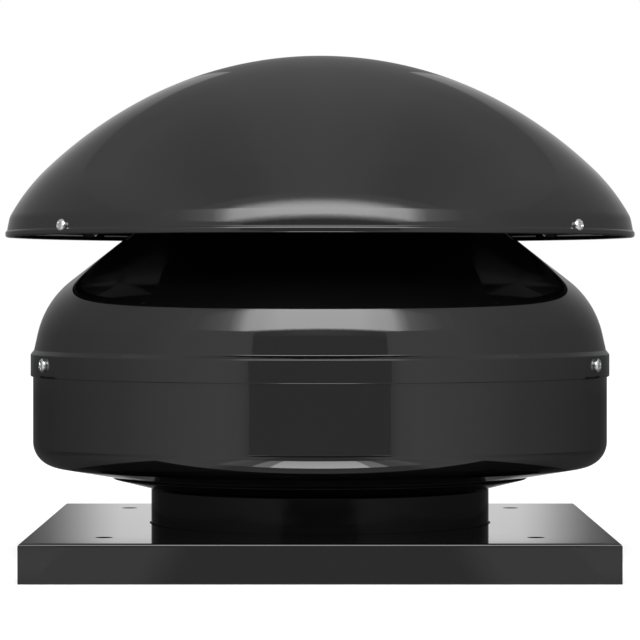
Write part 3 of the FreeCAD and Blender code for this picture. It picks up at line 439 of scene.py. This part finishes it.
finishes = {
    "black_enamel": black_enamel(),
    # the neck's dull black, with a fifth of the enamel's gloss, is painted shade under the bowl
    "dull_black": black_enamel("dull_black", specular=0.1, rough_low=0.08, rough_high=0.14),
    # the bowl's enamel, with painted shade in the band's notches
    "bowl_enamel": bowl_enamel(),
    "zinc_fastener": zinc_fastener(),
    "galvanised_steel": galvanised_steel(),
    "cast_aluminium": cast_aluminium(),
    "bearing_steel": turned_steel("bearing_steel", (0.55, 0.56, 0.58), (0.72, 0.73, 0.75), 0.10, 0.20),
    "shaft_steel": turned_steel("shaft_steel", (0.42, 0.42, 0.43), (0.62, 0.62, 0.63), 0.20, 0.34),
    "core_steel": core_steel(),
    "winding_copper": winding_copper(),
    "black_plastic": plastic("black_plastic", (0.012, 0.012, 0.013), (0.022, 0.022, 0.024), 0.38, 0.52),
    "grey_plastic": plastic("grey_plastic", (0.30, 0.31, 0.32), (0.38, 0.39, 0.40), 0.36, 0.5),
    "white_plastic": plastic("white_plastic", (0.72, 0.71, 0.68), (0.80, 0.79, 0.76), 0.3, 0.44),
    "black_rubber": plastic("black_rubber", (0.010, 0.010, 0.010), (0.020, 0.020, 0.020), 0.55, 0.75,
                            grain=500.0, depth=0.00004),
}
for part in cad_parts.values():
    for place in part.material_slots:
        place.material = finishes[place.material.name]


def dressed(piece, slot, body, *nodes):
    """Finishes a piece, puts it on its body and lets it stand for its CAD nodes."""
    if not piece.data.materials:
        piece.data.materials.append(finishes[slot])
    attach(piece, body)
    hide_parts(*nodes)
    return piece


# Casing

# Crown, flank, rim and the bend to the skirt, and then the skirt with its bead and hem
cap_to_skirt = [(229.2, -29.1), (258.5, -14.8), (117.2, -17.0), (11.5, -16.8)]
cap_moves = cap_to_skirt + [(150.0, -2.5), (0.5, 50.2), (1.5, -60.0), 1.1, (1.3, -90.0)]
cap_top = CAP_BOTTOM - trace((0, 0), 0, cap_moves)[-1][1]
cap = lathe("cap_skin", sheet_profile((0, cap_top), 0, cap_moves, -SHEET))
dressed(cap, "black_enamel", "casing", "rain_cap")

# Band, joggle, wall, shoulder, sloping roof and the collar with its lip
shell_moves = [12.752, (1.0, 39.5), 2.709, (1.0, -27.0), 10.0, (55.0, 39.5), 59.398, (4.0, -52.0), 10.0,
               (2.0, 90.0), 6.0]
band_edge = 0.58                # rounding of the band's lower edge
notch_half = math.degrees(NOTCH_WIDTH / 2 / BAND_OUTER)
notch_end = 0.04                # half the angle over which a notch's end rises
notch_clear = 0.2               # no other column of points stands nearer to such an end
shell_angles = [360.0 * i / LATHE_SEGMENTS - 180.0 for i in range(LATHE_SEGMENTS)]
for notch_angle in NOTCH_ANGLES:
    shell_angles = [a for a in shell_angles if abs(abs(a - notch_angle) - notch_half) > notch_clear]
    for end in (notch_angle - notch_half, notch_angle + notch_half):
        shell_angles += [end - notch_end, end + notch_end]
shell_angles.sort()


def notch_lift(angle, z):
    """How far the band's lower edge rises in a notch."""
    inside = any(abs(angle - a) < notch_half for a in NOTCH_ANGLES)
    return NOTCH_HEIGHT if inside and z < BAND_BOTTOM + SHEET / 2 else 0.0


shell = lathe("shell_skin", sheet_profile((BAND_OUTER, BAND_BOTTOM), 90, shell_moves, SHEET, band_edge),
              shell_angles, notch_lift)
dressed(shell, "black_enamel", "casing", "upper_shell")

bowl_moves = [52.536, (15.0, -80.1), 33.985, (30.0, 4.1), 21.128]
bowl = lathe("bowl_skin", sheet_profile((BOWL_RADIUS, BOWL_TOP), -90, bowl_moves, -SHEET))
# The bowl's enamel paints the shade in the band's notches and takes the place of its slot's black enamel
bowl.data.materials.append(finishes["bowl_enamel"])
dressed(bowl, "black_enamel", "casing", "lower_bowl")

neck_moves = [15.0, (1.0, -90.0), 20.657, (1.5, -76.0), 22.532]
neck = lathe("neck_skin", sheet_profile((NECK_FOOT, PLATE_TOP - PLATE_SHEET), 180, neck_moves, SHEET))
# The neck's dull black is painted shade: it keeps the neck dark under the bowl
neck.data.materials.append(finishes["dull_black"])
dressed(neck, "black_enamel", "casing", "neck_spigot")


# Screws with their cross recess

def closed_turn(name, profile):
    """A closed turned mesh from axis to axis, for cutting."""
    work = bmesh.new()
    turns = [2 * math.pi * i / SCREW_SEGMENTS for i in range(SCREW_SEGMENTS)]
    rings = []
    for r, z in profile:
        if r < ON_AXIS:
            rings.append([work.verts.new((0, 0, z * MM))] * SCREW_SEGMENTS)
        else:
            rings.append([work.verts.new((r * MM * math.cos(a), r * MM * math.sin(a), z * MM))
                          for a in turns])
    for low, high in zip(rings, rings[1:]):
        for face in strip(low, high):
            work.faces.new(face)
    bmesh.ops.recalc_face_normals(work, faces=work.faces)
    return linked(name, mesh_of(name, work))


def recess(name, top, depth, span, width):
    """A tapered cross that cuts a screw's recess."""
    work = bmesh.new()
    mouth = (top + 0.3, span * 1.05, width * 1.05)
    floor = (top - depth, span * 0.5, width * 0.75)
    loops = []
    for z, length, thick in (mouth, floor):
        loop = []
        for k in range(4):
            turn = Matrix.Rotation(math.radians(90 * k), 3, "Z")
            for x, y in ((length / 2, -thick / 2), (length / 2, thick / 2), (thick / 2, thick / 2)):
                loop.append(work.verts.new(turn @ Vector((x, y, z)) * MM))
        loops.append(loop)
    work.faces.new(loops[0])
    work.faces.new(loops[1][::-1])
    for i in range(12):
        j = (i + 1) % 12
        work.faces.new((loops[0][i], loops[1][i], loops[1][j], loops[0][j]))
    bmesh.ops.recalc_face_normals(work, faces=work.faces)
    return linked(name, mesh_of(name, work))


def pan_head_mesh(name, head, height, shank, grip):
    """One screw along Z, its head's underside at z = 0. head and shank are radii."""
    crown = height * 0.6            # radius of the head's rounded shoulder
    foot = 0.12                     # bevel under the head
    point = 0.4                     # bevel at the shank's end
    shoulder = [math.radians(b) for b in range(0, 91, 9)]
    profile = [(0, height)]
    profile += [(head - crown + crown * math.sin(b), height - crown + crown * math.cos(b)) for b in shoulder]
    profile += [(head, foot), (head - foot, 0), (shank, 0), (shank, point - grip), (shank - point, -grip),
                (0, -grip)]
    screw = closed_turn(name, profile)
    cutter = recess(name + "_cutter", height, height * 0.62, head * 1.25, head * 0.27)
    cut = screw.modifiers.new("recess", "BOOLEAN")
    cut.object = cutter
    cut.solver = "EXACT"
    soft = screw.modifiers.new("edges", "BEVEL")
    soft.width = 0.07 * MM
    soft.segments = 2
    soft.limit_method = "ANGLE"
    soft.angle_limit = math.radians(40)
    mesh = bpy.data.meshes.new_from_object(screw.evaluated_get(bpy.context.evaluated_depsgraph_get()))
    bpy.data.objects.remove(screw)
    bpy.data.objects.remove(cutter)
    return mesh


def fixed_screws(name, mesh, places):
    """Copies of one screw in a single piece. A place is a point in millimetres, an axis and a turn."""
    work = bmesh.new()
    for point, axis, turn in places:
        placed = mesh.copy()
        spin = axis.to_track_quat("Z", "Y").to_matrix().to_4x4() @ Matrix.Rotation(math.radians(turn), 4, "Z")
        placed.transform(Matrix.Translation(point * MM) @ spin)
        work.from_mesh(placed)
        bpy.data.meshes.remove(placed)
    joined = mesh_of(name, work)
    joined.shade_smooth()
    joined.set_sharp_from_angle(angle=math.radians(50))
    return linked(name, joined)


band_screw = pan_head_mesh("band_screw", head=4.0, height=2.6, shank=2.0, grip=9.9)
band_places = [(direction(a) * BAND_OUTER + Vector((0, 0, SCREW_HEIGHT)), direction(a), turn)
               for a, turn in zip(BAND_SCREW_ANGLES, (10, 28, -37, 64))]
dressed(fixed_screws("band_screw_set", band_screw, band_places), "zinc_fastener", "casing",
        "band_screws")

cap_screw = pan_head_mesh("cap_screw", head=3.5, height=2.6, shank=2.0, grip=3.7)
seat = trace((0, cap_top), 0, cap_to_skirt + [(150.0, -2.0)])[-1]       # on the cap's skirt
cap_places = [(direction(a) * seat[0] + Vector((0, 0, seat[1])), direction(a, CAP_SCREW_LEAN), turn)
              for a, turn in zip(CAP_SCREW_ANGLES, (5, 40, -22, 71))]
dressed(fixed_screws("cap_screw_set", cap_screw, cap_places), "zinc_fastener", "casing", "cap_screws")


# Studio: a white floor, a key light in front, small lamps low over the plate, and pale and dim cloths and
# cards round the fan that only its gloss sees. From here on, lengths are in metres.

BASE_HALF = 0.166               # just inside the base plate's edge
FLOOR_HALF = 6.0
TENT_RADIUS = 4.5
WALL_RADIUS = 0.45
WALL_FOOT = 0.0002              # the walls, the ring and the table cards lie a little above the floor
RING_HEIGHT = 0.0004
TABLE_HEIGHT = 0.0006
GREY_FRONT = -0.455             # front edge of the grey part of the table, where the dark part ends
FLOOR_GLOW = 0.45               # the floor's own light, for the eye and the gloss
WORLD_LIGHT = 0.75              # what the white world lights with; the eye and the gloss see 1


def stage_mesh(name, verts, faces, mat):
    """A piece of the studio, which isn't part of the fan."""
    mesh = bpy.data.meshes.new(name)
    mesh.from_pydata(verts, [], faces)
    mesh.materials.append(mat)
    obj = linked(name, mesh)
    return obj


def reflected_only(obj):
    """A cloth or card that shows in the gloss and leaves the view and the light alone."""
    obj.visible_camera = False
    obj.visible_diffuse = False
    obj.visible_shadow = False
    return obj


def empty_material(name):
    """A material without a shader, with its node tree and its output's surface."""
    mat = bpy.data.materials.new(name)
    mat.use_nodes = True
    mat.node_tree.nodes.clear()
    return mat, mat.node_tree, mat.node_tree.nodes.new("ShaderNodeOutputMaterial").inputs["Surface"]


def seen_rays(tree):
    """1 for camera, glossy and transmission rays."""
    path = tree.nodes.new("ShaderNodeLightPath").outputs
    seen = maths(tree, "ADD", path["Is Camera Ray"], path["Is Glossy Ray"], clamp=True)
    return maths(tree, "ADD", seen, path["Is Transmission Ray"], clamp=True)


def outside_base(tree, parts):
    """1 beyond the base plate's square and 0 under it."""
    across, along = maths(tree, "ABSOLUTE", parts["X"]), maths(tree, "ABSOLUTE", parts["Y"])
    return maths(tree, "GREATER_THAN", maths(tree, "MAXIMUM", across, along), BASE_HALF)


def white_floor():
    """White for the eye and the gloss, with the fan's shadow, and dark under the base: painted shade."""
    mat, tree, surface = empty_material("white_floor")
    outside = outside_base(tree, located(tree)[0])
    share = maths(tree, "MULTIPLY", maths(tree, "MULTIPLY", seen_rays(tree), outside), FLOOR_GLOW)
    # Under the base the floor is near black and has no glow: painted shade
    dark, white = (0.03, 0.03, 0.03), (0.9, 0.9, 0.9)
    lit = node(tree, "ShaderNodeBsdfDiffuse", {"Color": tint(tree, outside, dark, white)})
    glow = node(tree, "ShaderNodeEmission", {"Strength": share}, Color=(1.0, 1.0, 1.0, 1.0))
    both = node(tree, "ShaderNodeAddShader", {0: lit.outputs[0], 1: glow.outputs[0]})
    tree.links.new(both.outputs[0], surface)
    return mat


def grey_ramp(tree, value, stops):
    """A grey that goes by a value from 0 to 1, through (place, grey) stops."""
    made = tree.nodes.new("ShaderNodeValToRGB")
    elements = made.color_ramp.elements
    while len(elements) < len(stops):
        elements.new(0.5)
    for element, (place, grey) in zip(elements, stops):
        element.position = place
        element.color = (grey, grey, grey, 1.0)
    tree.links.new(value, made.inputs["Fac"])
    return made.outputs["Color"]


def glow_surface(tree, surface, colour):
    """Lets the surface shine in a colour."""
    glow = node(tree, "ShaderNodeEmission", {"Color": colour}, Strength=1.0)
    tree.links.new(glow.outputs[0], surface)


def ring_cloth(name, levels, flat=False):
    """A cloth whose brightness goes by the angle round the fan, and changes between heights.

    levels are (height, stops) with stops of (degrees, grey). On a flat cloth they go by radius.
    """
    mat, tree, surface = empty_material(name)
    parts, where = located(tree)
    reach = parts["Z"]
    if flat:
        reach = node(tree, "ShaderNodeVectorMath", {0: where}, _operation="LENGTH").outputs["Value"]
    around = from_front(tree, parts)
    colour, near = None, 0.0
    for far, stops in levels:
        ring = grey_ramp(tree, around, [(a / 180.0, g) for a, g in stops])
        if colour:
            share = spread(tree, reach, 0.0, 1.0, near, far)
            ring = node(tree, "ShaderNodeMix", {0: share, 6: colour, 7: ring}, _data_type="RGBA").outputs[2]
        colour, near = ring, far
    # A flat cloth is black under the base plate: painted shade
    if flat:
        colour = times(tree, colour, outside_base(tree, parts))
    glow_surface(tree, surface, colour)
    return mat


def tent_cloth(radius, rear_stops, side_stops, low_share, low, high):
    """The tent: bright in front, dimmer to the rear and the sides, and low_share as bright low down.

    It changes from low to high, which are shares of the radius, as the places of the stops are.
    """
    mat, tree, surface = empty_material("tent_cloth")
    parts, _ = located(tree)
    rear = grey_ramp(tree, spread(tree, parts["Y"], 0.0, 1.0, -radius, radius), rear_stops)
    across = maths(tree, "ABSOLUTE", parts["X"])
    side = grey_ramp(tree, spread(tree, across, 0.0, 1.0, 0.0, radius), side_stops)
    share = spread(tree, parts["Z"], low_share, 1.0, low * radius, high * radius)
    glow_surface(tree, surface, times(tree, times(tree, rear, share), side))
    return mat


def faded_card(name, width, across_stops, low=0.0, high=1.0, up_stops=None, gain=1.0, rest=0.0):
    """A card with greys over the distance from its middle, times greys over its height.

    The product is multiplied by gain and added to rest. Stops are (metres, grey).
    """
    mat, tree, surface = empty_material(name)
    parts, _ = located(tree)
    across = spread(tree, maths(tree, "ABSOLUTE", parts["X"]), 0.0, 1.0, 0.0, width)
    level = grey_ramp(tree, across, [(x / width, grey) for x, grey in across_stops])
    if up_stops:
        rise = spread(tree, parts["Z"], 0.0, 1.0, low, high)
        level = times(tree, level,
                      grey_ramp(tree, rise, [((z - low) / (high - low), grey) for z, grey in up_stops]))
    total = node(tree, "ShaderNodeVectorMath", {0: level}, _operation="MULTIPLY_ADD")
    total.inputs[1].default_value = (gain, gain, gain)
    total.inputs[2].default_value = (rest, rest, rest)
    glow_surface(tree, surface, total.outputs["Vector"])
    return mat


def plain_card(name, grey):
    """A card of one grey."""
    mat, tree, surface = empty_material(name)
    glow = node(tree, "ShaderNodeEmission", Color=(grey, grey, grey, 1.0), Strength=1.0)
    tree.links.new(glow.outputs[0], surface)
    return mat


def dome(radius, across, up):
    """A half sphere over the floor."""
    verts = [(0, 0, radius)]
    for i in range(1, up + 1):
        b = math.radians(90.0 * i / up)
        for k in range(across):
            a = 2 * math.pi * k / across
            verts.append((radius * math.sin(b) * math.sin(a), radius * math.sin(b) * math.cos(a),
                          radius * math.cos(b)))
    faces = [(0, 1 + k, 1 + (k + 1) % across) for k in range(across)]
    for i in range(up - 1):
        for k in range(across):
            a, b = 1 + i * across + k, 1 + i * across + (k + 1) % across
            faces.append((a, a + across, b + across, b))
    return verts, faces


def curved_wall(radius, heights, sign):
    """A wall round one side of the fan. heights are (angle from the front, height) stops."""
    verts = []
    first, last = heights[0][0], heights[-1][0]
    count = int(last - first)
    for i in range(count + 1):
        angle = first + (last - first) * i / count
        for (a0, h0), (a1, h1) in zip(heights, heights[1:]):
            if a0 <= angle <= a1:
                height = h0 + (h1 - h0) * (angle - a0) / (a1 - a0)
        d = direction(sign * angle) * radius
        verts += [(d.x, d.y, WALL_FOOT), (d.x, d.y, height)]
    return verts, [(2 * i, 2 * i + 2, 2 * i + 3, 2 * i + 1) for i in range(count)]


def flat_ring(inner, outer, z):
    """A ring that lies round the fan."""
    count = 90
    verts = []
    for i in range(count):
        d = direction(360.0 * i / count)
        verts += [(d.x * inner, d.y * inner, z), (d.x * outer, d.y * outer, z)]
    return verts, [(2 * i, 2 * i + 1, (2 * i + 3) % (2 * count), (2 * i + 2) % (2 * count))
                   for i in range(count)]


def card(half_width, near, far):
    """A card across the middle, between two points (y, z)."""
    return ([(-half_width, *near), (half_width, *near), (half_width, *far), (-half_width, *far)],
            [(0, 1, 2, 3)])


stage_mesh("floor", *card(FLOOR_HALF, (-FLOOR_HALF, 0.0), (FLOOR_HALF, 0.0)), white_floor())

rear_stops = ((0, 1.0), (0.335, 1.0), (0.5, 0.83), (0.6, 0.72), (0.7, 0.59), (0.8, 0.45), (0.85, 0.37),
              (0.9, 0.33))
side_stops = ((0, 1.0), (0.1, 0.95), (0.17, 0.92), (0.25, 0.82), (0.33, 0.77), (0.45, 0.80), (0.6, 0.90))
reflected_only(stage_mesh("tent", *dome(TENT_RADIUS, across=48, up=24),
                          tent_cloth(TENT_RADIUS, rear_stops, side_stops, low_share=0.72, low=0.40,
                                     high=0.72)))

# The two walls
foot_stops = ((22, 0.75), (25, 0.95), (31, 1.0), (38, 0.96), (45, 0.89), (52.4, 0.81), (60.3, 0.70),
              (69, 0.555), (78.7, 0.44), (90, 0.30), (101, 0.195), (113, 0.11), (127, 0.06), (150, 0.07),
              (153.7, 0.19), (155.3, 0.31), (156.8, 0.45), (158.8, 0.66), (160.8, 0.82), (166, 0.88))
low_stops = ((22, 0.75), (25, 0.95), (31, 1.0), (38, 0.96), (45, 0.89), (52.4, 0.81), (60.3, 0.70),
             (69, 0.555), (78.7, 0.44), (90, 0.30), (101, 0.195), (113, 0.11), (127, 0.06), (155, 0.06),
             (161, 0.12), (166, 0.3))
middle_stops = ((22, 1.0), (48, 0.92), (62.6, 0.72), (73, 0.64), (83, 0.53), (90, 0.45), (96.5, 0.39),
                (104, 0.32), (111, 0.28), (118, 0.27), (128, 0.30), (137, 0.38), (146, 0.50), (165, 0.5))
high_stops = ((22, 1.0), (48, 0.95), (55, 0.86), (65, 0.77), (73, 0.70), (83, 0.57), (90, 0.54), (98, 0.47),
              (107, 0.42), (116, 0.38), (125, 0.33), (134, 0.28), (145, 0.25), (165, 0.5))
wall_cloth = ring_cloth("wall_cloth", ((0.066, foot_stops), (0.085, low_stops), (0.30, middle_stops),
                                       (0.50, high_stops)))
wall_heights = ((22.0, 0.305), (48.0, 0.305), (54.0, 0.50), (166.0, 0.50))
for wall_name, wall_sign in (("left_wall", -1), ("right_wall", 1)):
    reflected_only(stage_mesh(wall_name, *curved_wall(WALL_RADIUS, wall_heights, wall_sign), wall_cloth))

# What lies round the fan, and the cards in front
near_stops = ((0, 0.95), (30, 0.95), (45, 0.85), (50, 0.6), (61, 0.2), (72, 0.12), (88, 0.09), (105, 0.05),
              (155, 0.06), (166, 1.0))
far_stops = ((0, 1.0), (22, 1.0), (31, 1.05), (43, 0.89), (53, 0.69), (64, 0.49), (73, 0.34), (84, 0.21),
             (96, 0.13), (115, 0.07), (155, 0.06), (166, 1.0))
reflected_only(stage_mesh("table_ring", *flat_ring(0.165, 0.452, RING_HEIGHT),
                          ring_cloth("table_cloth", ((0.19, near_stops), (0.28, far_stops)), flat=True)))
reflected_only(stage_mesh("dark_table", *card(0.25, (-0.85, TABLE_HEIGHT), (GREY_FRONT, TABLE_HEIGHT)),
                          plain_card("dark_card", 0.15)))
reflected_only(stage_mesh("grey_table", *card(0.16, (GREY_FRONT, TABLE_HEIGHT), (-0.165, TABLE_HEIGHT)),
                          faded_card("grey_card", 0.16, ((0, 0.54), (0.082, 0.54), (0.105, 0.92)))))
reflected_only(stage_mesh("front_card", *card(0.6, (-1.0, 0.001), (-1.0, 0.55)),
                          plain_card("front_grey", 0.52)))
key_across = ((0, 1.0), (0.10, 1.0), (0.13, 0.93), (0.155, 0.86), (0.18, 0.83), (0.20, 0.76), (0.215, 0.58),
              (0.225, 0.43), (0.235, 0.33), (0.26, 0.14), (0.30, 0.08), (0.35, 0.04), (0.42, 0.0))
key_up = ((0.305, 0.0), (0.310, 0.2), (0.3135, 0.45), (0.317, 0.75), (0.321, 0.97), (0.50, 1.0),
          (0.515, 0.93), (0.526, 0.82), (0.538, 0.63), (0.550, 0.39), (0.560, 0.2), (0.5705, 0.07),
          (0.584, 0.02), (0.62, 0.0))
reflected_only(stage_mesh("key_card", *card(0.55, (-0.4235, 0.304), (-0.3256, 0.617)),
                          faded_card("key_cloth", 0.45, key_across, low=0.30, high=0.63, up_stops=key_up,
                                     gain=7.5, rest=0.97)))


def soft_light(name, middle, half_width, first, second, radiance):
    """An area lamp between two points (y, z), whose light is radiance times as bright as white.

    It shines to the right of the way from first to second, seen with y to the right and z up.
    """
    first, second = Vector((middle, *first)), Vector((middle, *second))
    data = bpy.data.lights.new(name, "AREA")
    data.shape = "RECTANGLE"
    data.size = 2 * half_width
    data.size_y = (second - first).length
    data.energy = radiance * math.pi * data.size * data.size_y
    side = Vector((1, 0, 0))
    along = (second - first).normalized()
    obj = linked(name, data)
    obj.matrix_world = (Matrix.Translation((first + second) / 2)
                        @ Matrix((side, along, side.cross(along))).transposed().to_4x4())
    obj.visible_camera = False
    return obj


key_light = soft_light("key_light", 0.0, 0.2, (-0.42, 0.313), (-0.345, 0.552), 7.6)
key_light.visible_glossy = False

# Lamps over the plate's front, seen only by the gloss of the neck and the bowl
lamp_front, lamp_rear = (-0.249, 0.0238), (-0.191, 0.0238)
for glow_name, middle, half_width, radiance in (
        ("table_glow", 0.0, 0.040, 6.4), ("left_glow", -0.048, 0.008, 2.4), ("right_glow", 0.048, 0.008, 2.4),
        ("far_left_glow", -0.073, 0.017, 0.55), ("far_right_glow", 0.073, 0.017, 0.55)):
    glow = soft_light(glow_name, middle, half_width, lamp_rear, lamp_front, radiance)
    glow.data.spread = math.radians(166)
    glow.visible_diffuse = False

world = bpy.data.worlds.new("white")
bpy.context.scene.world = world
world.use_nodes = True
sky = world.node_tree
sky_level = maths(sky, "MULTIPLY_ADD", seen_rays(sky), 1.0 - WORLD_LIGHT, WORLD_LIGHT)
sky.nodes["Background"].inputs["Color"].default_value = (1.0, 1.0, 1.0, 1.0)
sky.links.new(sky_level, sky.nodes["Background"].inputs["Strength"])

camera_data = bpy.data.cameras.new("camera")
camera_data.sensor_width = 36.0
camera_data.lens = 181.6
camera_data.shift_y = -0.0516
camera_data.clip_end = 50.0
camera = linked("camera", camera_data)
camera.location = (0.0, -1.954, 0.1648)
camera.rotation_euler = (math.radians(90.0), 0.0, 0.0)
bpy.context.scene.camera = camera
bpy.context.scene.view_settings.view_transform = "Standard"
